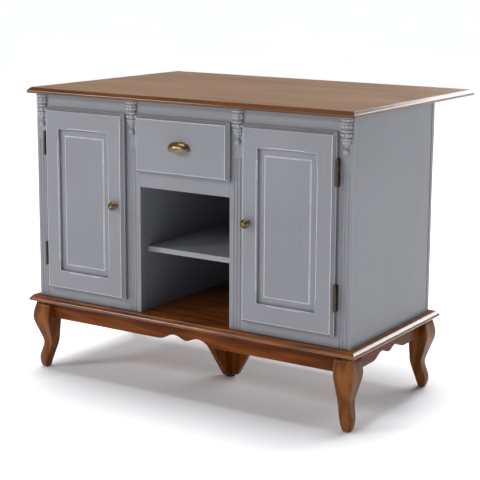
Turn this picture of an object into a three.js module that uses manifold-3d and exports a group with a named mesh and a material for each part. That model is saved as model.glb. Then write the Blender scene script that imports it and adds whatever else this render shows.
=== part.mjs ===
// A free-standing kitchen island: a painted case with two panelled doors, a drawer over an open
// compartment, a wooden worktop with a long overhang at the back, and a wooden base on curved legs.
// Millimetres, +Z up. X runs along the front, Y from the front to the back. The origin lies on the
// floor, under the middle of the whole object.
import * as THREE from 'three';
import { LoftGeometry } from 'three/addons/geometries/LoftGeometry.js';
import { mergeVertices } from 'three/addons/utils/BufferGeometryUtils.js';
import Module from 'manifold-3d';

// ---- Driving dimensions ----

// Heights, from the floor up
const legHeight = 220;
const baseThickness = 18;
const caseHeight = 644;
const worktopThickness = 18;

// Plan
const caseWidth = 1120;
const caseDepth = 500;
const worktopSideOverhang = 15;
const worktopFrontOverhang = 30;
const worktopBackOverhang = 260;
const baseOverhang = 27;

// Moulded edges of the two wooden boards
const mouldWidth = 9;
const mouldStep = 1.2;
const mouldNoseHeight = 5.5;
const mouldUndercut = 4;

// Case boards
const panelThickness = 18;
const backThickness = 15;
const shelfThickness = 16;
const shelfSetback = 43;
const jointWidth = 4;
const jointDepth = 3;
const dustBoardThickness = 16;
const centreShelfHeight = 182;
const cupboardShelfHeight = 302;

// Face frame
const frameThickness = 20;
const outerStileWidth = 57;
const innerStileWidth = 60;
const centreOpeningWidth = 320;
const partitionSetback = 4;
const topRailHeight = 52;
const bottomRailHeight = 43;
const drawerRailHeight = 56;
const drawerOpeningHeight = 150;

// Flutes of the stiles
const fluteCount = 3;
const flutePitch = 11;
const fluteRadius = 3.5;
const fluteDepth = 2.5;
const fluteStop = 36;

// Corbels
const corbelHeight = 105;
const corbelHalfWidth = 21;
const corbelDepth = 18;
const corbelLowDepth = 9;

// Fronts of doors and drawer
const frontThickness = 20;
const frontGap = 3;
const frontEdge = 8.5;
const frontLip = 9;
const doorOverlay = 10;
const drawerSideOverlay = 6;
const doorStileWidth = 56.5;
const doorRailWidth = 62.5;
const panelLip = 11;
const panelPlate = 8;
const panelRebate = 8;
const panelMargin = 20;
const panelSlope = 2;
const fieldRise = 2.5;
const fieldEdge = 1.5;
const chamfer = 3;
const chamferStop = 30;

// Knobs and cup pull
const knobLength = 28;
const knobRadius = 14;
const knobFootRadius = 9;
const knobNeckRadius = 5;
const knobFootThickness = 3;
const knobFootEdge = 1.5;
const knobHeadStart = 14;
const knobRimHeight = 5;
const knobCrownRadius = 10.5;
const knobRound = 1;
const knobInset = 26;
const knobRaise = 7;
const pullHalfWidth = 36;
const pullHeight = 20;
const pullDrop = 7;
const pullDepth = 25;
const pullWall = 2.5;
const pullFlange = 4;
const pullFlangeThickness = 1.5;
const pullRaise = 6;

// Hinges
const hingeHeight = 75;
const hingeOffset = 174.5;
const knuckleRadius = 3.6;
const pinRadius = 1.5;
const pinStandOff = 16;
const leafThickness = 1.2;
const frameLeafDepth = 18;
const doorLeafWidth = 30;
const hingeClearance = 0.6;

// Drawer box and its runners
const boardThickness = 15;
const drawerBottomThickness = 6;
const drawerBoxDepth = 430;
const drawerBoxRise = 14;
const drawerBoxHeadroom = 24;
const drawerSideGap = 6;
const runnerHeight = 16;
const grooveDepth = 8;

// Catches
const catchWidth = 12;
const catchHeight = 40;

// Legs
const legPost = 45;
const footRise = 10;
const toeHeight = 36;
const ankleHeight = 80;
const calfHeight = 118;
const kneeDrop = 52;
const topReach = 9;
const kneeReach = 19;
const calfReach = 7;
const ankleReach = -2;
const toeReach = 7;
const soleReach = 5;
const footReach = 0;
const footWidth = 19;
const toeWidth = 35;
const ankleWidth = 37;
const calfWidth = 49;
const arrisTop = 2;
const arrisFoot = 8;
const legEdge = 2.5;
const soleRound = 1.5;

// Aprons
const apronHeight = 54;
const apronThickness = 18;
const apronSetback = 6;
const scallopHalfWidth = 100;
const scallopPeak = 43;
const scallopRise = 18;
const scallopCusp = 6;
const archEase = 25.65;
const peakEase = 17.2;
const cuspEase = 12.9;

// Centre support
const supportThickness = 18;
const supportFootHalf = 30;
const longSupportHalf = 190;
const crossSupportHalf = 150;
const glideRadius = 15;
const glideHeight = 10;

// Running gap left where one piece works inside another
const clearance = 0.3;

// How far a cut runs on past the face that it opens
const overcut = 1;

// ---- Derived places ----

const baseTop = legHeight + baseThickness;
const caseTop = baseTop + caseHeight;
const halfWidth = caseWidth / 2;
const apronBottom = legHeight - apronHeight;
const kneeHeight = legHeight - kneeDrop;
const frontBack = -frontGap;
const frontFace = frontBack - frontThickness;
const backFace = caseDepth - backThickness;
const partitionInner = centreOpeningWidth / 2 + partitionSetback;
const partitionOuter = partitionInner + panelThickness;
const openingInner = centreOpeningWidth / 2 + innerStileWidth;
const openingOuter = halfWidth - outerStileWidth;
const openingTop = caseTop - topRailHeight;
const openingBottom = baseTop + bottomRailHeight;
const drawerOpeningBottom = openingTop - drawerOpeningHeight;
const compartmentTop = drawerOpeningBottom - drawerRailHeight;
const doorWidth = openingOuter - openingInner + 2 * doorOverlay;
const doorHeight = openingTop - openingBottom + 2 * doorOverlay;
const doorMiddleX = (openingOuter + openingInner) / 2;
const doorMiddleZ = (openingTop + openingBottom) / 2;
const drawerFrontWidth = centreOpeningWidth + 2 * drawerSideOverlay;
const drawerFrontHeight = drawerOpeningHeight + 2 * doorOverlay;
const drawerMiddleZ = (openingTop + drawerOpeningBottom) / 2;
const pinX = openingOuter + doorOverlay + knuckleRadius + hingeClearance + clearance;
const pinY = -pinStandOff;
const frontReach = frontGap + frontThickness + Math.max(knobLength, pullDepth);
const backReach = caseDepth + worktopBackOverhang;

// ---- Materials ----

function material(color, roughness, metalness) {
  return () => new THREE.MeshStandardMaterial({ color, roughness, metalness });
}
const greyPaint = material(0x8e9094, 0.5, 0);
const innerPaint = material(0x6f7277, 0.55, 0);
const topWood = material(0x8a5a38, 0.35, 0);
const baseWood = material(0x7a4526, 0.4, 0);
const rawWood = material(0xb99a72, 0.7, 0);
const agedBrass = material(0x8a7440, 0.35, 0.9);
const blackPlastic = material(0x18181a, 0.6, 0);

// ---- Solids ----

const wasm = await Module();
wasm.setup();

// A closed three.js geometry as a solid that can be joined and cut.
function solidOf(geometry) {
  const bare = geometry.clone();
  bare.deleteAttribute('normal');
  bare.deleteAttribute('uv');
  const merged = mergeVertices(bare, 1e-4);
  return new wasm.Manifold(new wasm.Mesh({
    numProp: 3,
    vertProperties: new Float32Array(merged.attributes.position.array),
    triVerts: new Uint32Array(merged.index.array),
  }));
}

// A solid as a three.js geometry.
function geometryOf(solid) {
  const mesh = solid.getMesh();
  const geometry = new THREE.BufferGeometry();
  geometry.setAttribute('position', new THREE.BufferAttribute(mesh.vertProperties, 3));
  geometry.setIndex(new THREE.BufferAttribute(mesh.triVerts, 1));
  geometry.computeVertexNormals();
  return geometry;
}

function join(first, ...others) {
  return geometryOf(others.reduce((solid, next) => solid.add(solidOf(next)), solidOf(first)));
}

function cut(first, ...tools) {
  return geometryOf(tools.reduce((solid, tool) => solid.subtract(solidOf(tool)), solidOf(first)));
}

function common(first, second) {
  return geometryOf(solidOf(first).intersect(solidOf(second)));
}

// A box between two corners.
function boxBetween(x0, x1, y0, y1, z0, z1) {
  const size = [x1 - x0, y1 - y0, z1 - z0].map(Math.abs);
  return new THREE.BoxGeometry(...size).translate((x0 + x1) / 2, (y0 + y1) / 2, (z0 + z1) / 2);
}

// A shape drawn in X and Z, pushed along Y.
function extrudeY(shape, y0, y1, curveSegments = 8) {
  const options = { depth: y1 - y0, bevelEnabled: false, curveSegments };
  return new THREE.ExtrudeGeometry(shape, options).rotateX(Math.PI / 2).translate(0, y1, 0);
}

// A shape drawn in Y and Z, pushed along X.
function extrudeX(shape, x0, x1, curveSegments = 8) {
  const turned = extrudeY(shape, -x1, -x0, curveSegments);
  return turned.rotateZ(Math.PI / 2);
}

function polygon(points) {
  return new THREE.Shape(points.map(([u, v]) => new THREE.Vector2(u, v)));
}

// The ogee on both long sides of a board: the board's section, from -half to half.
function ogeeSection(half, thickness) {
  const top = half - mouldWidth;
  const noseWidth = mouldWidth / 6;
  const shoulder = mouldWidth / 2;
  const stepDown = thickness - mouldStep;
  const middle = (mouldNoseHeight + stepDown) / 2;
  const shape = new THREE.Shape();
  shape.moveTo(-half + mouldUndercut, 0);
  shape.lineTo(half - mouldUndercut, 0);
  shape.quadraticCurveTo(half, 0, half, mouldNoseHeight);
  shape.bezierCurveTo(half - noseWidth, middle, top + shoulder, middle, top, stepDown);
  shape.lineTo(top, thickness);
  shape.lineTo(-top, thickness);
  shape.lineTo(-top, stepDown);
  shape.bezierCurveTo(-top - shoulder, middle, -half + noseWidth, middle, -half, mouldNoseHeight);
  shape.quadraticCurveTo(-half, 0, -half + mouldUndercut, 0);
  return shape;
}

// The section of the doors and the drawer front: a square lip at the back, then a broad bevel.
function frontSection(half) {
  const face = half - frontEdge;
  return polygon([
    [-half, 0], [half, 0], [half, frontLip],
    [face, frontThickness], [-face, frontThickness], [-half, frontLip],
  ]);
}

// The section of a raised panel above the middle of its plate: a low slope, then a step to the field.
function fieldSection(half) {
  const low = panelPlate / 2;
  const shoulder = half - panelMargin;
  const face = shoulder - fieldEdge;
  const high = low + panelSlope + fieldRise;
  return polygon([
    [-half, 0], [half, 0], [half, low], [shoulder, low + panelSlope],
    [face, high], [-face, high], [-shoulder, low + panelSlope], [-half, low],
  ]);
}

// Straight steps in each curve of a moulded edge
const edgeSteps = 6;

// A board with the same edge on all four sides, mitred at the corners. It lies flat on z = 0.
function edgedBoard(width, depth, section) {
  const along = extrudeY(section(width / 2), -depth / 2, depth / 2, edgeSteps);
  const across = extrudeX(section(depth / 2), -width / 2, width / 2, edgeSteps);
  return common(along, across);
}

// A board like that, stood up so that its face looks to the front, its back at y = 0.
function standingBoard(width, height, section) {
  return edgedBoard(width, height, section).rotateX(Math.PI / 2);
}

// ---- The scene graph ----

const island = new THREE.Group();
island.position.y = (frontReach - backReach) / 2;

function group(parent = island, x = 0, y = 0, z = 0) {
  const made = new THREE.Group();
  made.position.set(x, y, z);
  parent.add(made);
  return made;
}

function piece(parent, name, geometry, finish, x = 0, y = 0, z = 0) {
  const mesh = new THREE.Mesh(geometry, finish());
  mesh.name = name;
  mesh.position.set(x, y, z);
  parent.add(mesh);
  return mesh;
}

const sides = [['left', -1], ['right', 1]];

// ---- Worktop and base board ----

function addWorktop() {
  const width = caseWidth + 2 * worktopSideOverhang;
  const depth = caseDepth + worktopFrontOverhang + worktopBackOverhang;
  const middle = (caseDepth + worktopBackOverhang - worktopFrontOverhang) / 2;
  const board = edgedBoard(width, depth, (half) => ogeeSection(half, worktopThickness));
  piece(island, 'worktop', board, topWood, 0, middle, caseTop);
}

function addBaseBoard() {
  const width = caseWidth + 2 * baseOverhang;
  const depth = caseDepth + 2 * baseOverhang;
  const board = edgedBoard(width, depth, (half) => ogeeSection(half, baseThickness));
  piece(island, 'base_board', board, baseWood, 0, caseDepth / 2, legHeight);
}

// ---- Legs ----

// The value at a height, on a smooth curve through [height, value] points.
function valueAt(points, height) {
  const curve = new THREE.SplineCurve(points.map(([z, value]) => new THREE.Vector2(value, z)));
  let low = 0;
  let high = 1;
  for (let step = 0; step < 30; step += 1) {
    const middle = (low + high) / 2;
    if (curve.getPoint(middle).y < height) low = middle;
    else high = middle;
  }
  return curve.getPoint((low + high) / 2).x;
}

// How far the leg's outer faces stand out from the case, up its height.
function legOuter(height) {
  return valueAt([
    [0, footReach],
    [footRise, soleReach],
    [toeHeight, toeReach],
    [ankleHeight, ankleReach],
    [calfHeight, calfReach],
    [kneeHeight, kneeReach],
    [legHeight, topReach],
  ], height);
}

// How far the leg's inner faces stand in from the case. The top is a square post for the aprons.
function legInner(height) {
  if (height >= apronBottom) return legPost;
  return valueAt([
    [0, footWidth - footReach],
    [toeHeight, toeWidth - toeReach],
    [ankleHeight, ankleWidth - ankleReach],
    [calfHeight, calfWidth - calfReach],
    [apronBottom, legPost],
  ], height);
}

// One level of a leg: a square with rounded corners, the corner at the outside rounder than the rest.
function legSection(height, turn, shrink) {
  const outer = legOuter(height) - shrink;
  const inner = -legInner(height) + shrink;
  const share = THREE.MathUtils.smoothstep(apronBottom - height, 0, apronBottom - ankleHeight);
  const arris = THREE.MathUtils.lerp(arrisTop, arrisFoot, share);
  const corners = [
    [outer, outer, arris, 5],
    [inner, outer, legEdge, 2],
    [inner, inner, legEdge, 2],
    [outer, inner, legEdge, 2],
  ];
  const points = [];
  corners.forEach(([u, v, radius, steps], index) => {
    const centreU = u - Math.sign(u - (outer + inner) / 2) * radius;
    const centreV = v - Math.sign(v - (outer + inner) / 2) * radius;
    for (let step = 0; step <= steps; step += 1) {
      const angle = (index + step / steps) * (Math.PI / 2);
      points.push([centreU + radius * Math.cos(angle), centreV + radius * Math.sin(angle)]);
    }
  });
  if (turn < 0) points.reverse();
  return points;
}

// A leg at the corner of the case that lies to the side and end given by the signs.
function legGeometry(sideSign, endSign) {
  const turn = sideSign * endSign;
  const levels = [0, 0.2, 0.6, 1].map((share) => share * footRise);
  const count = 20;
  for (let step = 1; step <= count; step += 1) {
    levels.push(THREE.MathUtils.lerp(footRise, legHeight, step / count));
  }
  const sections = levels.map((height, index) => {
    const shrink = index === 0 ? soleRound : 0;
    const ring = legSection(height, turn, shrink);
    return ring.map(([u, v]) => new THREE.Vector3(sideSign * u, endSign * v, height));
  });
  return new LoftGeometry(sections, { capStart: true, capEnd: true });
}

function addLegs() {
  const ends = [['front', -1, 0], ['back', 1, caseDepth]];
  for (const [side, sideSign] of sides) {
    for (const [end, endSign, y] of ends) {
      const geometry = legGeometry(sideSign, endSign);
      piece(island, `leg_${end}_${side}`, geometry, baseWood, sideSign * halfWidth, y, 0);
    }
  }
}

// ---- Aprons ----

// A board on edge whose lower edge has two small arches with a round drop between them.
function scallopedBoard(length) {
  const half = length / 2;
  const shape = new THREE.Shape();
  shape.moveTo(-half, apronHeight);
  shape.lineTo(-half, 0);
  shape.lineTo(-scallopHalfWidth, 0);
  const archFrom = (sign, reverse) => {
    const outerEnd = [sign * scallopHalfWidth, 0];
    const outerPull = [sign * (scallopHalfWidth - archEase), 0];
    const peakOuter = [sign * (scallopPeak + archEase), scallopRise];
    const peak = [sign * scallopPeak, scallopRise];
    const peakInner = [sign * (scallopPeak - peakEase), scallopRise];
    const cuspPull = [sign * cuspEase, scallopCusp];
    const cusp = [0, scallopCusp];
    const curves = [[outerEnd, outerPull, peakOuter, peak], [peak, peakInner, cuspPull, cusp]];
    const ordered = reverse ? curves.map((c) => [...c].reverse()).reverse() : curves;
    ordered.forEach(([, a, b, end]) => shape.bezierCurveTo(...a, ...b, ...end));
  };
  archFrom(-1, false);
  archFrom(1, true);
  shape.lineTo(half, 0);
  shape.lineTo(half, apronHeight);
  return shape;
}

function addAprons() {
  const longShape = scallopedBoard(caseWidth - 2 * legPost);
  const shortShape = scallopedBoard(caseDepth - 2 * legPost);
  const longBoard = extrudeY(longShape, 0, apronThickness);
  const shortBoard = extrudeX(shortShape, 0, apronThickness);
  piece(island, 'apron_front', longBoard, baseWood, 0, apronSetback, apronBottom);
  const backY = caseDepth - apronSetback - apronThickness;
  piece(island, 'apron_back', longBoard.clone(), baseWood, 0, backY, apronBottom);
  const leftX = apronSetback - halfWidth;
  const rightX = halfWidth - apronSetback - apronThickness;
  piece(island, 'apron_left', shortBoard, baseWood, leftX, caseDepth / 2, apronBottom);
  piece(island, 'apron_right', shortBoard.clone(), baseWood, rightX, caseDepth / 2, apronBottom);
}

// ---- Centre support: two tapered boards halved into each other, on a round glide ----

function supportShape(topHalf) {
  return polygon([
    [-supportFootHalf, glideHeight],
    [supportFootHalf, glideHeight],
    [topHalf, legHeight],
    [-topHalf, legHeight],
  ]);
}

function addSupport() {
  const centre = group(island, 0, caseDepth / 2, 0);
  const half = supportThickness / 2;
  const slotHalf = half + clearance;
  const slotMiddle = (glideHeight + legHeight) / 2;
  const longBoard = extrudeX(supportShape(longSupportHalf), -half, half);
  const crossBoard = extrudeY(supportShape(crossSupportHalf), -half, half);
  const upperSlot = boxBetween(-legHeight, legHeight, -slotHalf, slotHalf, slotMiddle, 2 * legHeight);
  const lowerSlot = boxBetween(-slotHalf, slotHalf, -legHeight, legHeight, -legHeight, slotMiddle);
  const glide = new THREE.CylinderGeometry(glideRadius, glideRadius, glideHeight, 24);
  glide.rotateX(Math.PI / 2);
  piece(centre, 'support_long_board', cut(longBoard, upperSlot), baseWood);
  piece(centre, 'support_cross_board', cut(crossBoard, lowerSlot), baseWood);
  piece(centre, 'support_glide', glide, blackPlastic, 0, 0, glideHeight / 2);
}

// ---- Case ----

function addCase() {
  const box = group(island, 0, 0, baseTop);
  const front = frameThickness;
  const shelfFront = shelfSetback;
  const sideInner = halfWidth - panelThickness;
  for (const [side, sign] of sides) {
    const board = boxBetween(sign * sideInner, sign * halfWidth, front, backFace, 0, caseHeight);
    const joint = boxBetween(
      sign * (halfWidth - jointDepth), sign * (halfWidth + jointDepth),
      backFace - jointWidth, backFace + jointWidth,
      -caseHeight, 2 * caseHeight,
    );
    const wall = boxBetween(sign * partitionInner, sign * partitionOuter, front, backFace, 0, caseHeight);
    const shelf = boxBetween(
      sign * partitionOuter, sign * sideInner,
      shelfFront, backFace, 0, shelfThickness,
    );
    piece(box, `side_panel_${side}`, cut(board, joint), greyPaint);
    piece(box, `partition_${side}`, wall, innerPaint);
    piece(box, `shelf_${side}`, shelf, innerPaint, 0, 0, cupboardShelfHeight);
  }
  const back = boxBetween(-halfWidth, halfWidth, backFace, caseDepth, 0, caseHeight);
  const shelf = boxBetween(
    -partitionInner, partitionInner,
    shelfFront, backFace, 0, shelfThickness,
  );
  const dustBoard = boxBetween(
    -partitionInner, partitionInner,
    front, backFace, 0, dustBoardThickness,
  );
  piece(box, 'back_panel', back, greyPaint);
  piece(box, 'shelf_centre', shelf, greyPaint, 0, 0, centreShelfHeight);
  piece(box, 'dust_board', dustBoard, innerPaint, 0, 0, compartmentTop - baseTop);
}

// ---- Face frame ----

// An upright of the face frame, with stopped flutes around the middle of its visible face.
function flutedStile(x0, x1, visibleMiddle) {
  const board = boxBetween(x0, x1, 0, frameThickness, 0, caseHeight);
  const fluteTop = caseHeight - corbelHeight - fluteStop;
  const run = fluteTop + fluteRadius;
  const tools = [];
  for (let index = 0; index < fluteCount; index += 1) {
    const offset = (index - (fluteCount - 1) / 2) * flutePitch;
    const flute = new THREE.CapsuleGeometry(fluteRadius, run, 3, 12);
    flute.rotateX(Math.PI / 2);
    flute.translate(visibleMiddle + offset, fluteDepth - fluteRadius, fluteTop - fluteRadius - run / 2);
    tools.push(flute);
  }
  return cut(board, ...tools);
}

// The middles of the parts of the stiles that the fronts leave bare.
const outerBareMiddle = (openingOuter + doorOverlay + halfWidth) / 2;
const innerBareMiddle = (drawerFrontWidth / 2 + openingInner - doorOverlay) / 2;

function addFaceFrame() {
  const frame = group(island, 0, 0, baseTop);
  const rail = (x0, x1, z0, z1) => boxBetween(x0, x1, 0, frameThickness, z0 - baseTop, z1 - baseTop);
  const innerEdge = centreOpeningWidth / 2;
  for (const [side, sign] of sides) {
    const outer = flutedStile(sign * openingOuter, sign * halfWidth, sign * outerBareMiddle);
    const inner = flutedStile(sign * innerEdge, sign * openingInner, sign * innerBareMiddle);
    const top = rail(sign * openingInner, sign * openingOuter, openingTop, caseTop);
    const bottom = rail(sign * openingInner, sign * openingOuter, baseTop, openingBottom);
    piece(frame, `stile_outer_${side}`, outer, greyPaint);
    piece(frame, `stile_inner_${side}`, inner, greyPaint);
    piece(frame, `top_rail_${side}`, top, greyPaint);
    piece(frame, `bottom_rail_${side}`, bottom, greyPaint);
  }
  const top = rail(-innerEdge, innerEdge, openingTop, caseTop);
  const middle = rail(-innerEdge, innerEdge, compartmentTop, drawerOpeningBottom);
  piece(frame, 'top_rail_centre', top, greyPaint);
  piece(frame, 'drawer_rail', middle, greyPaint);
}

// ---- Corbels ----

// The corbel's outline from the top down, as shares of its height and of its half width: a gourd, a
// collar, a cup with a ring under it, a tapering stem and a drop.
const gourdOutline = [[0, 0.84], [0.05, 0.95], [0.15, 1], [0.25, 0.92], [0.31, 0.78]];
const stemOutline = [
  [0.34, 0.92],
  [0.39, 0.96],
  [0.42, 0.84],
  [0.52, 0.78],
  [0.55, 0.9],
  [0.6, 0.86],
  [0.64, 0.62],
  [0.74, 0.44],
  [0.8, 0.32],
  [0.86, 0.4],
  [0.93, 0.36],
  [0.98, 0.2],
  [1, 0.06],
];

// Half-oval sections, flat at the back. From the collar down the carving is flatter, so that an open
// door clears it.
function corbelGeometry() {
  const steps = 8;
  const section = (drop, width, depth) => {
    const ring = [];
    for (let step = 0; step <= steps; step += 1) {
      const angle = (step / steps) * Math.PI;
      const x = Math.cos(angle) * width * corbelHalfWidth;
      const y = -Math.sin(angle) * width * depth;
      ring.push(new THREE.Vector3(x, y, -drop * corbelHeight));
    }
    return ring;
  };
  const gourd = gourdOutline.map(([drop, width]) => section(drop, width, corbelDepth));
  const stem = stemOutline.map(([drop, width]) => section(drop, width, corbelLowDepth));
  return new LoftGeometry([...gourd, ...stem], { capStart: true, capEnd: true });
}

function addCorbels() {
  for (const [side, sign] of sides) {
    piece(island, `corbel_outer_${side}`, corbelGeometry(), greyPaint, sign * outerBareMiddle, 0, caseTop);
    piece(island, `corbel_inner_${side}`, corbelGeometry(), greyPaint, sign * innerBareMiddle, 0, caseTop);
  }
}

// ---- Doors ----

// The frame of a door, round its middle, with its back at y = 0.
function doorFrame() {
  const board = standingBoard(doorWidth, doorHeight, frontSection);
  const halfX = doorWidth / 2 - doorStileWidth;
  const halfZ = doorHeight / 2 - doorRailWidth;
  const rebate = frontThickness - panelLip;
  const hole = boxBetween(-halfX, halfX, -2 * frontThickness, frontThickness, -halfZ, halfZ);
  const seat = boxBetween(
    -halfX - panelRebate, halfX + panelRebate,
    -rebate, frontThickness,
    -halfZ - panelRebate, halfZ + panelRebate,
  );
  const spindle = (half) => new THREE.LatheGeometry([
    new THREE.Vector2(0, -half + chamferStop),
    new THREE.Vector2(chamfer, -half + 1.5 * chamferStop),
    new THREE.Vector2(chamfer, half - 1.5 * chamferStop),
    new THREE.Vector2(0, half - chamferStop),
  ], 4);
  const edges = [];
  for (const sign of [-1, 1]) {
    edges.push(spindle(halfZ).rotateX(Math.PI / 2).translate(sign * halfX, -frontThickness, 0));
    edges.push(spindle(halfX).rotateZ(Math.PI / 2).translate(0, -frontThickness, sign * halfZ));
  }
  return cut(board, hole, seat, ...edges);
}

// The raised panel that the frame holds, set in from the back.
function doorPanel() {
  const openX = doorWidth / 2 - doorStileWidth;
  const openZ = doorHeight / 2 - doorRailWidth;
  const plateX = openX + panelRebate - clearance;
  const plateZ = openZ + panelRebate - clearance;
  const plateFace = -(frontThickness - panelLip);
  const plate = boxBetween(-plateX, plateX, plateFace, plateFace + panelPlate, -plateZ, plateZ);
  const field = standingBoard(2 * (openX - clearance), 2 * (openZ - clearance), fieldSection);
  return join(plate, field.translate(0, plateFace + panelPlate / 2, 0));
}

// A turned knob that points to the front, with its foot at y = 0.
function knobGeometry() {
  const foot = knobFootThickness;
  const head = knobHeadStart;
  const rim = knobRadius - knobRound;
  const rimMiddle = head + (knobRimHeight + knobRound) / 2;
  const outline = new THREE.Path();
  outline.moveTo(0, 0);
  outline.lineTo(knobFootRadius, 0);
  outline.lineTo(knobFootRadius, knobFootEdge);
  outline.quadraticCurveTo(knobFootRadius - knobRound, foot, knobNeckRadius, foot);
  outline.lineTo(knobNeckRadius, head - 2 * knobRound);
  outline.quadraticCurveTo(knobNeckRadius + knobRound, head, rim, head + knobRound);
  outline.quadraticCurveTo(knobRadius + knobRound / 2, rimMiddle, rim, head + knobRimHeight);
  outline.quadraticCurveTo(knobCrownRadius, knobLength, 0, knobLength);
  return new THREE.LatheGeometry(outline.getPoints(4), 24).rotateX(Math.PI);
}

// ---- Hinges ----

// A hollow or solid barrel round the pin line, between two heights.
function barrel(radius, z0, z1) {
  const geometry = new THREE.CylinderGeometry(radius, radius, z1 - z0, 16);
  return geometry.rotateX(Math.PI / 2).translate(0, 0, (z0 + z1) / 2);
}

// The leaf on the face frame, round the pin line: two knuckles on the pin, a web back to a plate on
// the stile's face, and a plate turned into the opening. The sign is the door's side.
function frameLeaf(sign) {
  const half = hingeHeight / 2;
  const third = hingeHeight / 6;
  const stileFace = -pinY;
  const edge = openingOuter - pinX;
  const notchX = -(knuckleRadius + hingeClearance);
  const webHalf = leafThickness / 2;
  const web = boxBetween(-webHalf, webHalf, 0, stileFace, -half, half);
  const face = boxBetween(sign * edge, 0, stileFace - leafThickness, stileFace, -half, half);
  const inside = boxBetween(
    sign * (edge - leafThickness), sign * edge,
    stileFace - leafThickness, stileFace + frameLeafDepth,
    -half, half,
  );
  const notch = boxBetween(
    sign * notchX, sign * knuckleRadius,
    -2 * knuckleRadius, stileFace + overcut,
    -third - clearance, third + clearance,
  );
  const body = join(face, inside, web, barrel(knuckleRadius, -half, half));
  return join(cut(body, notch), barrel(pinRadius, -half, half));
}

// The leaf on the back of the door, round the pin line: the middle knuckle, a web and a plate.
function doorLeaf(sign) {
  const half = hingeHeight / 2;
  const third = hingeHeight / 6;
  const back = frontBack - pinY;
  const start = -(knuckleRadius + hingeClearance);
  const plate = boxBetween(
    sign * (start - doorLeafWidth), sign * start,
    back, back + leafThickness,
    -half, half,
  );
  const webHalf = leafThickness / 2;
  const tab = boxBetween(sign * start, 0, back, back + leafThickness, -third, third);
  const web = boxBetween(-webHalf, webHalf, 0, back + leafThickness, -third, third);
  const knuckle = barrel(knuckleRadius, -third, third);
  const bore = barrel(pinRadius + clearance, -half, half);
  return cut(join(plate, tab, web, knuckle), bore);
}

function addDoors() {
  for (const [side, sign] of sides) {
    const door = group(island, sign * doorMiddleX, frontBack, doorMiddleZ);
    const knobX = -sign * (doorWidth / 2 - knobInset);
    piece(door, `door_frame_${side}`, doorFrame(), greyPaint);
    piece(door, `door_panel_${side}`, doorPanel(), greyPaint);
    piece(door, `knob_${side}`, knobGeometry(), agedBrass, knobX, -frontThickness, knobRaise);
    for (const [level, levelSign] of [['lower', -1], ['upper', 1]]) {
      const hinge = group(island, sign * pinX, pinY, doorMiddleZ + levelSign * hingeOffset);
      piece(hinge, `hinge_${side}_${level}_frame_leaf`, frameLeaf(sign), agedBrass);
      piece(hinge, `hinge_${side}_${level}_door_leaf`, doorLeaf(sign), agedBrass);
    }
    const hold = boxBetween(
      sign * openingInner, sign * (openingInner + catchWidth),
      frontBack + clearance, frameThickness,
      -catchHeight / 2, catchHeight / 2,
    );
    piece(island, `door_catch_${side}`, hold, blackPlastic, 0, 0, doorMiddleZ);
  }
}

// ---- Drawer ----

// A half-moon cup pull with its back at y = 0 and its hollow open at the bottom.
function cupPull() {
  const bulge = (shrink) => new THREE.SphereGeometry(1, 28, 16).scale(
    pullHalfWidth - shrink,
    pullDepth - shrink,
    pullHeight - shrink,
  );
  const kept = boxBetween(
    -2 * pullHalfWidth, 2 * pullHalfWidth,
    -2 * pullDepth, 0,
    -pullDrop, 2 * pullHeight,
  );
  const outline = new THREE.Shape();
  outline.absellipse(0, 0, pullHalfWidth + pullFlange, pullHeight + pullFlange, 0, 2 * Math.PI);
  const flange = extrudeY(outline, -pullFlangeThickness, 0, 12);
  return common(cut(join(bulge(0), flange), bulge(pullWall)), kept);
}

function addDrawer() {
  const drawer = group(island, 0, frontBack, drawerMiddleZ);
  const front = standingBoard(drawerFrontWidth, drawerFrontHeight, frontSection);
  const outer = partitionInner - drawerSideGap;
  const inner = outer - boardThickness;
  const low = drawerOpeningBottom + drawerBoxRise - drawerMiddleZ;
  const high = openingTop - drawerBoxHeadroom - drawerMiddleZ;
  const runnerLow = (low + high - runnerHeight) / 2;
  const runnerHigh = runnerLow + runnerHeight;
  const backInner = drawerBoxDepth - boardThickness;
  const bottomLow = low + drawerBottomThickness;
  const pullZ = pullRaise - (pullHeight + pullFlange - pullDrop) / 2;
  piece(drawer, 'drawer_front', front, greyPaint);
  for (const [side, sign] of sides) {
    const wall = boxBetween(sign * inner, sign * outer, 0, drawerBoxDepth, low, high);
    const groove = boxBetween(
      sign * (outer - grooveDepth), sign * (outer + overcut),
      frontGap, drawerBoxDepth + overcut,
      runnerLow - clearance, runnerHigh + clearance,
    );
    const strip = boxBetween(
      sign * (outer - grooveDepth + clearance), sign * partitionInner,
      frameThickness + frontGap, drawerBoxDepth + frontGap,
      runnerLow, runnerHigh,
    );
    piece(drawer, `drawer_side_${side}`, cut(wall, groove), rawWood);
    piece(island, `drawer_runner_${side}`, strip, rawWood, 0, 0, drawerMiddleZ);
  }
  const back = boxBetween(-inner, inner, backInner, drawerBoxDepth, low, high);
  const bottom = boxBetween(-inner, inner, 0, backInner, bottomLow, bottomLow + drawerBottomThickness);
  piece(drawer, 'drawer_back', back, rawWood);
  piece(drawer, 'drawer_bottom', bottom, rawWood);
  piece(drawer, 'cup_pull', cupPull(), agedBrass, 0, -frontThickness, pullZ);
}

addWorktop();
addBaseBoard();
addLegs();
addAprons();
addSupport();
addCase();
addFaceFrame();
addCorbels();
addDoors();
addDrawer();

export default island;
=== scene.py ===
"""A painted kitchen island with a wooden worktop and base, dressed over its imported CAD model.

Metres, in the frame of the CAD model: X along the front, Y from front to back, Z up.
"""
import math

import bmesh
import bpy
from mathutils import Matrix, Vector


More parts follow.
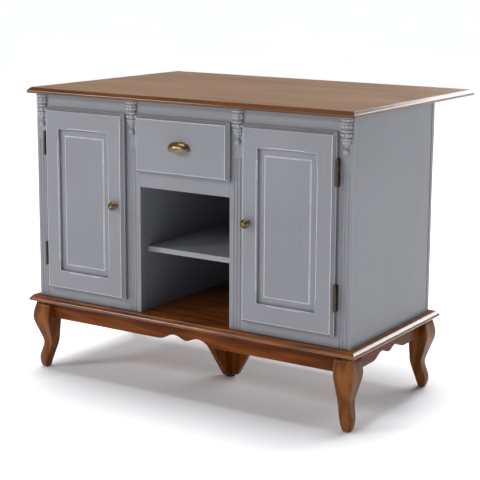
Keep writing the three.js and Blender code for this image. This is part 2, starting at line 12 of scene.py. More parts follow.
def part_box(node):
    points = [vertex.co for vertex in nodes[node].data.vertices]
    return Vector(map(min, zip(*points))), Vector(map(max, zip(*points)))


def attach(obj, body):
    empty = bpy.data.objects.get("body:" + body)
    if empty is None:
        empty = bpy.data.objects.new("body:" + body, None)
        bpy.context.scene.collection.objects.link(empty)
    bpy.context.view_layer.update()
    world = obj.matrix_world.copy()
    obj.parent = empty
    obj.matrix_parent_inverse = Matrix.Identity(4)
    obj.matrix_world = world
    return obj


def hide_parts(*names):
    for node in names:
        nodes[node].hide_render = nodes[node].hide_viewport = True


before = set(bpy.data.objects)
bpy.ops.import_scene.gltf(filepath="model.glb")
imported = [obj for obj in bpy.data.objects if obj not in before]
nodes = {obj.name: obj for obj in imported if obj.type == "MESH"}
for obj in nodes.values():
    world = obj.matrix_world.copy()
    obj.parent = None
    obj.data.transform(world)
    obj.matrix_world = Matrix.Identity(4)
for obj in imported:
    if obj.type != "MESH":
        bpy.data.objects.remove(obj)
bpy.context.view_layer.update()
MM = 0.001
SIDES = ("left", "right")

# ---- Camera: place, heading, lens and shift ----

CAMERA_PLACE = Vector((2.19895, -3.41844, 1.28388))
CAMERA_YAW = 0.552
CAMERA_PITCH = -0.179
CAMERA_ROLL = 0.010
CAMERA_LENS = 98.24
CAMERA_SHIFT = (-0.0729, -0.0833)
CAMERA_REACH = 500.0

# ---- Light: a room with a white band low round its walls, a wide sun and softboxes ----

BAND_LIGHT = (1.0, 1.0, 1.0)
ROOM_LIGHT = (0.120, 0.134, 0.168)
BAND_TOP = math.sin(math.radians(4))
BAND_END = math.sin(math.radians(10))
SUN_PLACE = (-0.6, 0.8, 4.6)
SUN_POWER = 3.4
SUN_WIDTH = math.radians(34)
SOFTBOX_TARGET = (0.0, 0.0, 0.5)
FLOOR_REACH = 200.0

# Softboxes: name, place, width, height, power in watts.
SOFTBOXES = (
    ("front_top", (-0.6, -3.5, 2.6), 1.8, 1.0, 36),
    ("back", (0.7, 4.2, 2.0), 3.2, 1.6, 135),
    ("back_right", (2.3, 3.0, 2.5), 1.4, 1.4, 18),
    ("front_low", (0.5, -5.2, 1.1), 0.8, 0.8, 14),
    ("left", (-3.4, -3.8, 3.0), 1.2, 0.9, 88),
)

# ---- Colours, linear. Woods have a dark, a middle and a light tone ----

GREY_PAINT = (0.196, 0.199, 0.215)
# Painted shade for the hollows of the carving.
HOLLOW_SHADE_PAINT = (0.078, 0.079, 0.090)
# Lighter paint for edges: wear together with a painted highlight.
WORN_HIGHLIT_PAINT = (0.47, 0.47, 0.495)
# Painted highlight on the rounded edges of the flutes.
FLUTE_HIGHLIGHT_PAINT = (0.30, 0.30, 0.32)
# Painted shade: the grey paint made darker for the parts inside the case.
SHADED_INNER_PAINT = (0.180, 0.184, 0.204)
# Painted light: the grey paint made lighter for the centre shelf.
LIT_SHELF_PAINT = (0.245, 0.248, 0.270)
AGED_BRASS = (0.22, 0.163, 0.083)
HINGE_BRASS = (0.075, 0.058, 0.034)
BLACK_PLASTIC = (0.012, 0.012, 0.013)
FLOOR = (0.90, 0.90, 0.905)
TOP_TONES = ((0.180, 0.102, 0.053), (0.216, 0.125, 0.067), (0.244, 0.143, 0.080))
BASE_TONES = ((0.075, 0.018, 0.003), (0.157, 0.043, 0.007), (0.250, 0.080, 0.014))
# Painted shade and light: the aprons are a darker copy of the base wood, the legs a lighter one.
SHADED_APRON_TONES = ((0.066, 0.013, 0.002), (0.134, 0.031, 0.004), (0.209, 0.057, 0.009))
LIT_LEG_TONES = ((0.088, 0.025, 0.006), (0.178, 0.057, 0.013), (0.275, 0.099, 0.026))
# Painted shade: the worktop's moulded edge darker than its top.
SHADED_RIM_TONES = ((0.064, 0.021, 0.004), (0.096, 0.031, 0.006), (0.128, 0.045, 0.009))
RAW_TONES = ((0.46, 0.31, 0.17), (0.58, 0.42, 0.25), (0.66, 0.50, 0.32))

# ---- Materials: the middle range of a noise, shares, roughness ----

NOISE_LOW = 0.3
NOISE_HIGH = 0.7
FULL = 1.0
PAINT_ROUGHNESS = (0.40, 0.52)
CARVED_ROUGHNESS = (0.24, 0.34)
RING_CALM = 0.45
PORE_SHARE = 0.7
GLOSS_SPREAD = 0.10
LACQUER_ROUGHNESS = 0.18
DULL_BRASS = 0.8
HOLLOW_BRASS = 0.12

# ---- Dressing: distances, angles, weights ----

WELD_DISTANCE = 0.01 * MM
FLAT_ANGLE = math.radians(0.5)
EDGE_ANGLE = math.radians(32)
EDGE_SEGMENTS = 2
NORMAL_WEIGHT = 70
FACE_UP = 0.98


# ---- Node trees ----


class Shader:
    """A material with one Principled shader, and short calls for the nodes that feed it."""

    def __init__(self, name):
        self.material = bpy.data.materials.new(name)
        self.material.use_nodes = True
        self.tree = self.material.node_tree
        self.bsdf = self.tree.nodes["Principled BSDF"]

    def node(self, kind, values=(), links=(), **settings):
        made = self.tree.nodes.new(kind)
        for key, value in settings.items():
            setattr(made, key, value)
        for socket, value in dict(values).items():
            made.inputs[socket].default_value = value
        for socket, source in dict(links).items():
            self.tree.links.new(source, made.inputs[socket])
        return made

    def place(self, scale):
        """Object coordinates, scaled."""
        coords = self.node("ShaderNodeTexCoord")
        mapping = self.node("ShaderNodeMapping", {"Scale": scale}, {"Vector": coords.outputs["Object"]})
        return mapping.outputs["Vector"]

    def noise(self, vector, scale, detail, roughness=0.5, distortion=0.0):
        made = self.node(
            "ShaderNodeTexNoise",
            {"Scale": scale, "Detail": detail, "Roughness": roughness, "Distortion": distortion},
            {"Vector": vector},
        )
        return made.outputs["Fac"]

    def even_noise(self, scale, detail):
        """Noise of the same size in every direction."""
        return self.noise(self.place((1, 1, 1)), scale, detail)

    def grain(self, axis, along, across, scale, detail, **shape):
        """Noise that is drawn out along an axis."""
        stretch = tuple(along if index == axis else across for index in range(3))
        return self.noise(self.place(stretch), scale, detail, **shape)

    def math(self, operation, first, second=0.0):
        made = self.node("ShaderNodeMath", operation=operation)
        for index, value in enumerate((first, second)):
            if isinstance(value, (int, float)):
                made.inputs[index].default_value = value
            else:
                self.tree.links.new(value, made.inputs[index])
        return made.outputs[0]

    def share(self, value):
        """A value between -1 and 1, brought between 0 and 1."""
        return self.math("MULTIPLY", self.math("ADD", value, 1.0), 0.5)

    def ramp(self, factor, stops):
        """A colour ramp. Each stop is (place, colour or grey)."""
        made = self.node("ShaderNodeValToRGB", links={"Fac": factor})
        elements = made.color_ramp.elements
        while len(elements) < len(stops):
            elements.new(0.5)
        for element, (place, colour) in zip(elements, stops):
            element.position = place
            shade = (colour,) * 3 if isinstance(colour, (int, float)) else colour
            element.color = (*shade, 1.0)
        return made.outputs["Color"]

    def vary(self, noise, low, high):
        """From one colour or grey to another over the middle of a noise."""
        return self.ramp(noise, [(NOISE_LOW, low), (NOISE_HIGH, high)])

    def mix(self, factor, first, second, blend="MIX"):
        made = self.node("ShaderNodeMix", data_type="RGBA", blend_type=blend)
        sockets = {"Factor": made.inputs[0], "A": made.inputs[6], "B": made.inputs[7]}
        for key, value in (("Factor", factor), ("A", first), ("B", second)):
            if isinstance(value, (int, float)):
                sockets[key].default_value = value
            elif isinstance(value, tuple):
                sockets[key].default_value = (*value, 1.0)
            else:
                self.tree.links.new(value, sockets[key])
        return made.outputs[2]

    def bump(self, height, strength, depth, below=None):
        """Relief of a height in millimetres, laid over other relief."""
        links = {"Height": height}
        if below is not None:
            links["Normal"] = below
        made = self.node("ShaderNodeBump", {"Strength": strength, "Distance": depth * MM}, links)
        return made.outputs["Normal"]

    def finish(self, color, roughness, normal=None, **values):
        for socket, source in (("Base Color", color), ("Roughness", roughness), ("Normal", normal)):
            if source is not None:
                self.tree.links.new(source, self.bsdf.inputs[socket])
        for key, value in values.items():
            self.bsdf.inputs[key.replace("_", " ")].default_value = value
        return self.material


def shaded(colour, share):
    """A colour made darker or lighter."""
    return tuple(value * share for value in colour)


def paint(name, colour, axis):
    """Satin paint over wood: faint brush lines and grain along an axis, slightly uneven colour."""
    s = Shader(name)
    grain = s.grain(axis, 1.2, 90.0, scale=4.0, detail=4.0, roughness=0.6)
    brush = s.grain(axis, 6.0, 420.0, scale=2.0, detail=2.0)
    cloud = s.even_noise(scale=3.0, detail=3.0)
    orange_peel = s.even_noise(scale=260.0, detail=2.0)
    tone = s.vary(cloud, shaded(colour, 0.93), shaded(colour, 1.06))
    lines = s.ramp(grain, [(0.35, 0.955), (0.6, 1.0)])
    color = s.mix(FULL, tone, lines, "MULTIPLY")
    smooth, dull = PAINT_ROUGHNESS
    roughness = s.ramp(brush, [(0.3, smooth), (0.75, dull)])
    normal = s.bump(grain, strength=0.10, depth=0.3)
    normal = s.bump(brush, strength=0.10, depth=0.1, below=normal)
    normal = s.bump(orange_peel, strength=0.06, depth=0.1, below=normal)
    return s.finish(color, roughness, normal)


def worn_highlit(name, colour, wear_and_highlight):
    """Paint worn lighter along an edge, which also paints a highlight there; left plain where the edge
    looks down into shade.
    """
    s = Shader(name)
    normal = s.node("ShaderNodeNewGeometry").outputs["Normal"]
    upward = s.node("ShaderNodeSeparateXYZ", links={"Vector": normal}).outputs["Z"]
    cloud = s.even_noise(scale=30.0, detail=3.0)
    fine = s.even_noise(scale=260.0, detail=2.0)
    wear_and_highlight_tone = s.vary(cloud, shaded(wear_and_highlight, 0.82), shaded(wear_and_highlight, 1.12))
    # The edge gets the painted highlight and wear, but not where it faces down, since it lies in shade
    # there.
    color = s.mix(s.ramp(s.share(upward), [(0.12, 0.0), (0.26, 1.0)]), colour, wear_and_highlight_tone)
    roughness = s.vary(cloud, *PAINT_ROUGHNESS)
    return s.finish(color, roughness, s.bump(fine, strength=0.08, depth=0.1))


def carved(name, colour, high, low):
    """The same paint on carving: lighter on the high places by wear and a painted highlight, darker in the
    hollows by painted shade.
    """
    s = Shader(name)
    point = s.node("ShaderNodeNewGeometry").outputs["Pointiness"]
    cloud = s.even_noise(scale=60.0, detail=3.0)
    fine = s.even_noise(scale=400.0, detail=2.0)
    tone = s.vary(cloud, shaded(colour, 0.94), shaded(colour, 1.05))
    # Wear and painted highlight on the high places of the carving.
    wear_and_highlight = s.mix(s.ramp(point, [(0.50, 0.0), (0.56, 0.9)]), tone, high)
    # Painted shade in the hollows of the carving.
    color = s.mix(s.ramp(point, [(0.43, 0.8), (0.495, 0.0)]), wear_and_highlight, low)
    roughness = s.vary(cloud, *CARVED_ROUGHNESS)
    return s.finish(color, roughness, s.bump(fine, strength=0.08, depth=0.1))


def wood(name, axis, tones, gloss, shine=0.5, rings=11.0, lacquer=0.0):
    """Stained wood with its grain along an axis: rings, fibres, pores and slow changes of tone."""
    s = Shader(name)
    dark, middle, light = tones
    slow = s.grain(axis, 0.55, 4.5, scale=1.6, detail=2.5, distortion=0.3)
    ring = s.share(s.math("SINE", s.math("MULTIPLY", slow, rings * 2 * math.pi)))
    fibre = s.grain(axis, 7.0, 420.0, scale=1.0, detail=4.0, roughness=0.65)
    pores = s.grain(axis, 22.0, 900.0, scale=1.0, detail=2.0)
    cloud = s.grain(axis, 1.5, 5.0, scale=1.3, detail=3.0)
    base = s.ramp(ring, [(0.0, dark), (0.45, middle), (1.0, light)])
    color = s.mix(RING_CALM, base, middle)
    color = s.mix(FULL, color, s.ramp(fibre, [(0.3, 0.78), (0.65, 1.06)]), "MULTIPLY")
    color = s.mix(FULL, color, s.vary(cloud, 0.84, 1.1), "MULTIPLY")
    spots = s.ramp(pores, [(0.30, 0.62), (0.42, 1.0)])
    color = s.mix(PORE_SHARE, color, spots, "MULTIPLY")
    roughness = s.vary(fibre, gloss + GLOSS_SPREAD, gloss)
    normal = s.bump(fibre, strength=0.14, depth=0.2)
    normal = s.bump(spots, strength=0.18, depth=0.15, below=normal)
    coat = {"Coat_Weight": lacquer, "Coat_Roughness": LACQUER_ROUGHNESS}
    return s.finish(color, roughness, normal, Specular_IOR_Level=shine, **coat)


def metal(name, colour, gloss):
    """Aged brass: darker and duller in patches and hollows, with fine scratches."""
    s = Shader(name)
    point = s.node("ShaderNodeNewGeometry").outputs["Pointiness"]
    patches = s.even_noise(scale=60.0, detail=3.0)
    scratch = s.noise(s.place((900, 900, 60)), scale=1.0, detail=2.0)
    dull, bright = shaded(colour, DULL_BRASS), shaded(colour, 1.1)
    tone = s.ramp(patches, [(0.32, dull), (0.55, colour), (0.75, bright)])
    hollows = s.ramp(point, [(0.42, 0.65), (0.49, 0.0)])
    color = s.mix(hollows, tone, shaded(colour, HOLLOW_BRASS))
    roughness = s.vary(patches, gloss + GLOSS_SPREAD, gloss)
    return s.finish(color, roughness, s.bump(scratch, strength=0.06, depth=0.05), Metallic=1.0)


def plastic(name, colour):
    """Matt moulded plastic with a fine texture."""
    s = Shader(name)
    fine = s.even_noise(scale=900.0, detail=2.0)
    cloud = s.even_noise(scale=40.0, detail=2.0)
    color = s.vary(cloud, colour, shaded(colour, 1.6))
    roughness = s.vary(cloud, 0.5, 0.62)
    return s.finish(color, roughness, s.bump(fine, strength=0.2, depth=0.1))


def floor_material():
    """The studio floor: smooth, pale, almost without texture."""
    s = Shader("studio_floor")
    cloud = s.even_noise(scale=0.6, detail=2.0)
    return s.finish(s.vary(cloud, FLOOR, shaded(FLOOR, 1.02)), s.vary(cloud, 0.55, 0.6))


def paints(name, colour):
    """One paint three times, with its grain along X, Y and Z."""
    return [paint(f"{name}_{axis}", colour, index) for index, axis in enumerate("xyz")]


def woods(name, tones, gloss, axes="xyz", **look):
    """One wood with its grain along each of the axes."""
    return [wood(f"{name}_{axis}", index, tones, gloss, **look) for index, axis in enumerate(axes)]


grey = paints("grey_paint", GREY_PAINT)
# Lighter copy of the grey paint, as painted light on the centre shelf.
lit_shelf_paint = paint("lit_shelf_paint", LIT_SHELF_PAINT, 0)
# Edges made lighter by wear and by a painted highlight.
worn_highlit_paint = worn_highlit("worn_highlit_paint", GREY_PAINT, WORN_HIGHLIT_PAINT)
# Painted highlight for the flutes' edges.
flute_highlight_paint = paint("flute_highlight_paint", FLUTE_HIGHLIGHT_PAINT, 2)
# Carving with a painted highlight on its high places and painted shade in its hollows.
carved_paint = carved("carved_paint", GREY_PAINT, WORN_HIGHLIT_PAINT, HOLLOW_SHADE_PAINT)
# Darker copy of the grey paint, as painted shade inside the case.
inner = paints("inner_paint", SHADED_INNER_PAINT)
base_wood = woods("base_wood", BASE_TONES, gloss=0.24, shine=0.10)
# Shaded and lit copies of the base wood for the aprons and the legs.
shaded_apron_wood = woods("shaded_apron_wood", SHADED_APRON_TONES, gloss=0.26, axes="xy", shine=0.08)
lit_leg_wood = wood("lit_leg_wood", 2, LIT_LEG_TONES, gloss=0.24, shine=0.12)
top_wood = wood("top_wood", 0, TOP_TONES, gloss=0.42, shine=0.15, rings=7.0)
# The worktop's edge wood is darker, as painted shade; both edges are lacquered.
rim_wood = {
    "worktop": wood("worktop_shaded_rim_wood", 0, SHADED_RIM_TONES, gloss=0.30, shine=0.1, rings=7.0, lacquer=0.5),
    "base_board": wood("base_rim_wood", 0, BASE_TONES, gloss=0.24, shine=0.1, lacquer=0.75),
}
raw_wood = woods("raw_wood", RAW_TONES, gloss=0.6)
aged_brass = metal("aged_brass", AGED_BRASS, gloss=0.26)
hinge_brass = metal("hinge_brass", HINGE_BRASS, gloss=0.38)
black_plastic = plastic("black_plastic", BLACK_PLASTIC)


# ---- Dressing of the CAD nodes ----


def dress(name, material, edge, wear_and_highlight=None):
    """Gives a CAD node its material and edges rounded by so many millimetres, with or without a lighter
    material on those edges that paints a highlight there (with wear, for the worn paint).
    """
    obj = nodes[name]
    mesh = obj.data
    mesh.materials.clear()
    mesh.materials.append(material)
    if "custom_normal" in mesh.attributes:
        mesh.attributes.remove(mesh.attributes["custom_normal"])
    mesh.polygons.foreach_set("use_smooth", [True] * len(mesh.polygons))
    weld = obj.modifiers.new("weld", "WELD")
    weld.merge_threshold = WELD_DISTANCE
    flat = obj.modifiers.new("flat", "DECIMATE")
    flat.decimate_type = "DISSOLVE"
    flat.angle_limit = FLAT_ANGLE
    if edge:
        bevel = obj.modifiers.new("edges", "BEVEL")
        bevel.width = edge * MM
        bevel.segments = EDGE_SEGMENTS
        bevel.limit_method = "ANGLE"
        bevel.angle_limit = EDGE_ANGLE
        # A second material on the rounded edges: a painted highlight.
        if wear_and_highlight:
            mesh.materials.append(wear_and_highlight)
            bevel.material = 1
    normals = obj.modifiers.new("normals", "WEIGHTED_NORMAL")
    normals.weight = NORMAL_WEIGHT
    normals.keep_sharp = False


def lacquer_and_shade_rim(name):
    """The moulded edge of a board is glossier than its faces; the worktop's edge is also darker, as painted
    shade.
    """
    mesh = nodes[name].data
    mesh.materials.append(rim_wood[name])
    for polygon in mesh.polygons:
        if abs(polygon.normal.z) < FACE_UP:
            polygon.material_index = 1


def dress_all():
    x, y, z = range(3)
    dress("worktop", top_wood, 0.5)
    dress("base_board", base_wood[x], 0.5)
    for name in rim_wood:
        lacquer_and_shade_rim(name)
    for name, axis in (("front", x), ("back", x), ("left", y), ("right", y)):
        dress(f"apron_{name}", shaded_apron_wood[axis], 1.2)
    dress("support_long_board", base_wood[z], 1.0)
    dress("support_cross_board", base_wood[z], 1.0)
    dress("support_glide", black_plastic, 1.0)
    dress("back_panel", grey[z], 0.6)
    dress("shelf_centre", lit_shelf_paint, 0.8)
    dress("dust_board", inner[x], 0.5)
    dress("top_rail_centre", grey[x], 0.5)
    dress("drawer_rail", grey[x], 0.8)
    dress("drawer_front", grey[x], 1.2, worn_highlit_paint)
    dress("drawer_back", raw_wood[x], 0.8)
    dress("drawer_bottom", raw_wood[y], 0.3)
    for side in SIDES:
        dress(f"leg_front_{side}", lit_leg_wood, 0)
        dress(f"leg_back_{side}", lit_leg_wood, 0)
        dress(f"side_panel_{side}", grey[z], 0.5)
        dress(f"partition_{side}", inner[z], 0.5)
        dress(f"shelf_{side}", inner[x], 0.8)
        # The flutes' rounded edges carry a painted highlight.
        dress(f"stile_outer_{side}", grey[z], 0.5, flute_highlight_paint)
        dress(f"stile_inner_{side}", grey[z], 0.5, flute_highlight_paint)
        dress(f"top_rail_{side}", grey[x], 0.4)
        dress(f"bottom_rail_{side}", grey[x], 0.4)
        dress(f"door_frame_{side}", grey[z], 1.2, worn_highlit_paint)
        dress(f"door_panel_{side}", grey[z], 1.2, worn_highlit_paint)
        dress(f"drawer_side_{side}", raw_wood[y], 0.8)
        dress(f"drawer_runner_{side}", raw_wood[y], 0.6)
        dress(f"door_catch_{side}", black_plastic, 1.0)
        for level in ("lower", "upper"):
            dress(f"hinge_{side}_{level}_frame_leaf", hinge_brass, 0.2)
            dress(f"hinge_{side}_{level}_door_leaf", hinge_brass, 0.2)


# ---- Pieces made here ----


def add_object(name, data):
    obj = bpy.data.objects.new(name, data)
    bpy.context.scene.collection.objects.link(obj)
    return obj


def new_piece(name, mesh, material, body, slot, *replaced):
    """An object of a mesh with smooth faces, on its body, in place of the CAD nodes that it hides."""
    mesh.materials.append(material)
    mesh.polygons.foreach_set("use_smooth", [True] * len(mesh.polygons))
    obj = add_object(name, mesh)
    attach(obj, body)
    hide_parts(*replaced)


def grid_mesh(name, surfaces, smallest, closed=False, fill=False):
    """A mesh of quads between the rows of points of each surface, with its faces turned outwards.

    Closed rows run round and join their ends. Filling caps what is open. Points nearer to each
    other than the smallest distance become one.
    """
    points = []
    faces = []
    for rows in surfaces:
        count = len(rows[0])
        for i in range(len(rows) - 1):
            near = len(points) + i * count
            far = near + count
            for j in range(count if closed else count - 1):
                k = (j + 1) % count
                faces.append((near + j, near + k, far + k, far + j))
        points += [point for row in rows for point in row]
    mesh = bpy.data.meshes.new(name)
    mesh.from_pydata(points, [], faces)
    bm = bmesh.new()
    bm.from_mesh(mesh)
    if fill:
        bmesh.ops.holes_fill(bm, edges=[edge for edge in bm.edges if edge.is_boundary])
    bmesh.ops.remove_doubles(bm, verts=bm.verts, dist=smallest)
    bmesh.ops.recalc_face_normals(bm, faces=bm.faces)
    bm.to_mesh(mesh)
    bm.free()
    return mesh


def bell(value, middle, width):
    """A smooth bump of height 1."""
    return math.exp(-(((value - middle) / width) ** 2))


# ---- Knobs ----

KNOB_STEPS = 56
KNOB_CURVE_STEPS = 6
KNOB_JOIN = 0.02 * MM

# Outline from the door outwards: (share of the length, share of the radius).
KNOB_OUTLINE = (
    (0.00, 0.00), (0.00, 0.64), (0.03, 0.66), (0.06, 0.60), (0.09, 0.42), (0.18, 0.34), (0.32, 0.33),
    (0.44, 0.40), (0.50, 0.66), (0.54, 0.94), (0.60, 1.00), (0.68, 0.98), (0.74, 0.90), (0.76, 0.82),
    (0.69, 0.73), (0.68, 0.66), (0.76, 0.58), (0.87, 0.45), (0.96, 0.24), (1.00, 0.00),
)


def smooth_outline(points):
    """A Catmull-Rom curve through the points."""
    last = len(points) - 1
    curve = []
    for i in range(last):
        p0, p1, p2, p3 = (Vector(points[min(max(i + k, 0), last)]) for k in (-1, 0, 1, 2))
        for step in range(KNOB_CURVE_STEPS):
            t = step / KNOB_CURVE_STEPS
            second = 2 * p0 - 5 * p1 + 4 * p2 - p3
            third = 3 * p1 - p0 - 3 * p2 + p3
            curve.append(0.5 * (2 * p1 + (p2 - p0) * t + second * t**2 + third * t**3))
    curve.append(Vector(points[last]))
    return curve


def make_knob(side):
    """A mushroom knob, turned on an axis that points to the front, with a ring round its dome."""
    low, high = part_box(f"knob_{side}")
    length = high.y - low.y
    radius = (high.x - low.x) / 2
    centre = Vector(((low.x + high.x) / 2, high.y, (low.z + high.z) / 2))
    turns = [2 * math.pi * step / KNOB_STEPS for step in range(KNOB_STEPS)]
    rows = []
    for along, across in smooth_outline(KNOB_OUTLINE):
        out = along * length
        reach = max(across, 0.0) * radius
        rows.append([centre + Vector((reach * math.cos(t), -out, reach * math.sin(t))) for t in turns])
    mesh = grid_mesh(f"knob_turned_{side}", [rows], KNOB_JOIN, closed=True)
    new_piece(f"knob_turned_{side}", mesh, aged_brass, f"door_{side}", "aged_brass", f"knob_{side}")


# ---- Cup pull ----

PULL_FLANGE = 1.6 * MM
PULL_FLANGE_DEPTH = 1.5 * MM
PULL_CHAMFER = 0.5 * MM
PULL_WALL = 2.2 * MM
PULL_DROP = 7.0 * MM
PULL_FOOT_LIFT = 4.5 * MM
PULL_LIP = 1.0 * MM
PULL_LIP_HEIGHT = 1.2 * MM
PULL_LIP_WIDTH = 1.6 * MM
PULL_JOIN = 0.05 * MM
PULL_COLUMNS = 48
PULL_LEVELS = 20


def make_cup_pull():
    """A half-moon shell with a rolled lip below, and a flat flange against the drawer."""
    low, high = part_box("cup_pull")
    half = (high.x - low.x) / 2 - PULL_FLANGE
    depth = high.y - low.y
    height = high.z - low.z - PULL_DROP - PULL_FLANGE
    centre = Vector(((low.x + high.x) / 2, high.y, low.z + PULL_DROP))

    def level(z, shrink):
        """Points round the shell at a height, from its right end round the front to its left end."""
        reach = math.sqrt(max(1 - (z / (height - shrink)) ** 2, 0.0))
        roll = PULL_LIP * bell(z, PULL_LIP_HEIGHT - PULL_DROP, PULL_LIP_WIDTH) - PULL_LIP - shrink
        row = []
        for j in range(PULL_COLUMNS + 1):
            turn = math.pi * j / PULL_COLUMNS
            x = (half + roll) * reach * math.cos(turn)
            y = (depth + roll) * reach * math.sin(turn)
            rise = PULL_FOOT_LIFT * (1 - math.sin(turn)) * (height - z) / (height + PULL_DROP)
            row.append(centre + Vector((x, -y, z + rise)))
        return row

    def levels(shrink):
        """Rows of points from the lip to the top."""
        top = height - shrink
        start = math.asin(-PULL_DROP / top)
        turns = [start + (math.pi / 2 - start) * i / PULL_LEVELS for i in range(PULL_LEVELS + 1)]
        return [level(top * math.sin(turn), shrink) for turn in turns]

    def outline(grow, out):
        """Points round the flange, from its right foot over the top to its left foot."""
        start = math.asin((PULL_FOOT_LIFT - PULL_DROP) / (height + grow))
        row = []
        for j in range(PULL_COLUMNS + 1):
            turn = start + (math.pi - 2 * start) * j / PULL_COLUMNS
            x = (half + grow) * math.cos(turn)
            z = (height + grow) * math.sin(turn)
            row.append(centre + Vector((x, -out, z)))
        return row

    outer = levels(0.0)
    inside = levels(PULL_WALL)
    shell = [inside[0]] + outer + inside[::-1]
    plate = [
        outline(-PULL_WALL, 0),
        outline(-PULL_WALL, PULL_FLANGE_DEPTH),
        outline(PULL_FLANGE - PULL_CHAMFER, PULL_FLANGE_DEPTH),
        outline(PULL_FLANGE, PULL_FLANGE_DEPTH - PULL_CHAMFER),
        outline(PULL_FLANGE, 0),
        outline(-PULL_WALL, 0),
    ]
    mesh = grid_mesh("cup_pull_shell", [shell, plate], PULL_JOIN)
    new_piece("cup_pull_shell", mesh, aged_brass, "drawer", "aged_brass", "cup_pull")


# ---- Corbels ----

CORBEL_LEVELS = 150
CORBEL_STEPS = 60
CORBEL_JOIN = 0.01 * MM
CORBEL_SIDE_SHARE = 0.8
LEAVES_ROUND = 4

# Profile of the carving down its height: (drop, half width, depth), all as shares.
CORBEL_PROFILE = (
    (0.000, 0.96, 0.96), (0.025, 0.96, 0.96), (0.035, 0.82, 0.80), (0.070, 0.80, 0.78), (0.105, 0.80, 0.78),
    (0.125, 0.74, 0.66), (0.180, 0.84, 0.80), (0.250, 0.88, 0.86), (0.310, 0.74, 0.66), (0.335, 0.70, 0.60),
    (0.350, 0.92, 0.84), (0.375, 0.94, 0.86), (0.395, 0.72, 0.58), (0.450, 0.76, 0.62), (0.520, 0.74, 0.60),
    (0.550, 0.66, 0.52), (0.565, 0.86, 0.72), (0.590, 0.88, 0.74), (0.610, 0.66, 0.50), (0.680, 0.56, 0.46),
    (0.750, 0.34, 0.32), (0.800, 0.22, 0.22), (0.815, 0.22, 0.22), (0.850, 0.40, 0.44), (0.895, 0.50, 0.58),
    (0.940, 0.44, 0.50), (0.975, 0.28, 0.30), (1.000, 0.00, 0.00),
)

# Rows of beads: (drop, size as a share of the height, beads round the front, rise).
CORBEL_BEADS = ((0.070, 0.036, 5, 0.20), (0.250, 0.046, 4, 0.14), (0.465, 0.044, 4, 0.26))

# Rows of leaves: (drop, size as a share of the height, rise).
CORBEL_LEAVES = ((0.165, 0.030, 0.10), (0.660, 0.045, 0.12))


def corbel_size(drop):
    """Half width and depth of the carving at a drop."""
    for (d0, w0, y0), (d1, w1, y1) in zip(CORBEL_PROFILE, CORBEL_PROFILE[1:]):
        if drop <= d1:
            t = (drop - d0) / (d1 - d0)
            ease = t * t * (3 - 2 * t)
            if d1 == 1.0:
                ease = 1 - math.sqrt(1 - t * t)
            return w0 + (w1 - w0) * ease, y0 + (y1 - y0) * ease
    return 0.0, 0.0


def corbel_carving(drop, turn):
    """How far beads and leaves stand out, down the height and round the front."""
    rise = 0.0
    for middle, size, count, amount in CORBEL_BEADS:
        across = (turn * count / math.pi) % 1.0 * 2 - 1
        along = (drop - middle) / size
        rise += amount * math.sqrt(max(1 - across * across - along * along, 0.0))
    leaves = abs(math.sin(LEAVES_ROUND * turn))
    for middle, size, amount in CORBEL_LEAVES:
        rise += amount * leaves * bell(drop, middle, size)
    return rise


def make_corbel(name):
    """A carved drop under the worktop: rows of beads, rings, leaves, a taper and an end bead."""
    low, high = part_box(name)
    half = (high.x - low.x) / 2
    depth = high.y - low.y
    height = high.z - low.z
    centre = (low.x + high.x) / 2
    rows = []
    for i in range(CORBEL_LEVELS + 1):
        drop = i / CORBEL_LEVELS
        width, out = corbel_size(drop)
        row = []
        for j in range(CORBEL_STEPS + 1):
            turn = math.pi * j / CORBEL_STEPS
            rise = corbel_carving(drop, turn)
            x = -math.cos(turn) * min(width + rise * CORBEL_SIDE_SHARE, 1.0) * half
            y = -math.sin(turn) * min(out + rise, 1.0) * depth
            row.append(Vector((centre + x, high.y + y, high.z - drop * height)))
        rows.append(row)
    mesh = grid_mesh(f"{name}_carved", [rows], CORBEL_JOIN, fill=True)
    new_piece(f"{name}_carved", mesh, carved_paint, "cabinet", "grey_paint", name)


# ---- Stage ----


def aim(obj, target):
    direction = Vector(target) - obj.location
    obj.rotation_euler = direction.to_track_quat("-Z", "Y").to_euler()


def studio_world():
    """A dim room with a white band low round its walls."""
    world = bpy.data.worlds.new("studio")
    world.use_nodes = True
    tree = world.node_tree
    coords = tree.nodes.new("ShaderNodeTexCoord")
    split = tree.nodes.new("ShaderNodeSeparateXYZ")
    ramp = tree.nodes.new("ShaderNodeValToRGB")
    tree.links.new(coords.outputs["Generated"], split.inputs["Vector"])
    tree.links.new(split.outputs["Z"], ramp.inputs["Fac"])
    tree.links.new(ramp.outputs["Color"], tree.nodes["Background"].inputs["Color"])
    band, dim = ramp.color_ramp.elements
    band.position = BAND_TOP
    band.color = (*BAND_LIGHT, 1.0)
    dim.position = BAND_END
    dim.color = (*ROOM_LIGHT, 1.0)
    return world


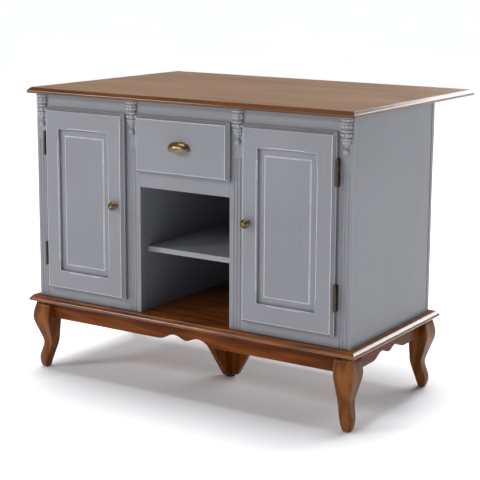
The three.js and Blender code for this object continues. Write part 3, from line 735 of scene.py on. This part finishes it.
def make_floor():
    mesh = bpy.data.meshes.new("studio_floor")
    corners = [(x * FLOOR_REACH, y * FLOOR_REACH, 0) for x, y in ((-1, -1), (1, -1), (1, 1), (-1, 1))]
    mesh.from_pydata(corners, [], [(0, 1, 2, 3)])
    mesh.materials.append(floor_material())
    floor = add_object("studio_floor", mesh)


def make_sun():
    light = bpy.data.lights.new("sun", "SUN")
    light.energy = SUN_POWER
    light.angle = SUN_WIDTH
    sun = add_object("sun", light)
    sun.location = SUN_PLACE
    aim(sun, (0.0, 0.0, 0.0))


def make_softbox(name, place, width, height, power):
    """An area light that points at the middle of the island and isn't seen itself."""
    light = bpy.data.lights.new(name, "AREA")
    light.shape = "RECTANGLE"
    light.size = width
    light.size_y = height
    light.energy = power
    box = add_object(name, light)
    box.location = place
    box.visible_camera = False
    aim(box, SOFTBOX_TARGET)


def make_stage():
    make_floor()
    bpy.context.scene.world = studio_world()
    make_sun()
    for box in SOFTBOXES:
        make_softbox(*box)


def make_camera():
    data = bpy.data.cameras.new("camera")
    data.lens = CAMERA_LENS
    data.shift_x, data.shift_y = CAMERA_SHIFT
    data.clip_end = CAMERA_REACH
    camera = add_object("camera", data)
    flat = math.cos(CAMERA_PITCH)
    ahead = Vector((-math.sin(CAMERA_YAW) * flat, math.cos(CAMERA_YAW) * flat, math.sin(CAMERA_PITCH)))
    right = Vector((math.cos(CAMERA_YAW), math.sin(CAMERA_YAW), 0))
    up = right.cross(ahead)
    turned_right = right * math.cos(CAMERA_ROLL) + up * math.sin(CAMERA_ROLL)
    turned_up = up * math.cos(CAMERA_ROLL) - right * math.sin(CAMERA_ROLL)
    basis = Matrix((turned_right, turned_up, -ahead)).transposed().to_4x4()
    camera.matrix_world = Matrix.Translation(CAMERA_PLACE) @ basis
    bpy.context.scene.camera = camera


make_camera()
make_stage()
dress_all()
for side in SIDES:
    make_knob(side)
    make_corbel(f"corbel_outer_{side}")
    make_corbel(f"corbel_inner_{side}")
make_cup_pull()
bpy.context.scene.view_settings.view_transform = "Standard"
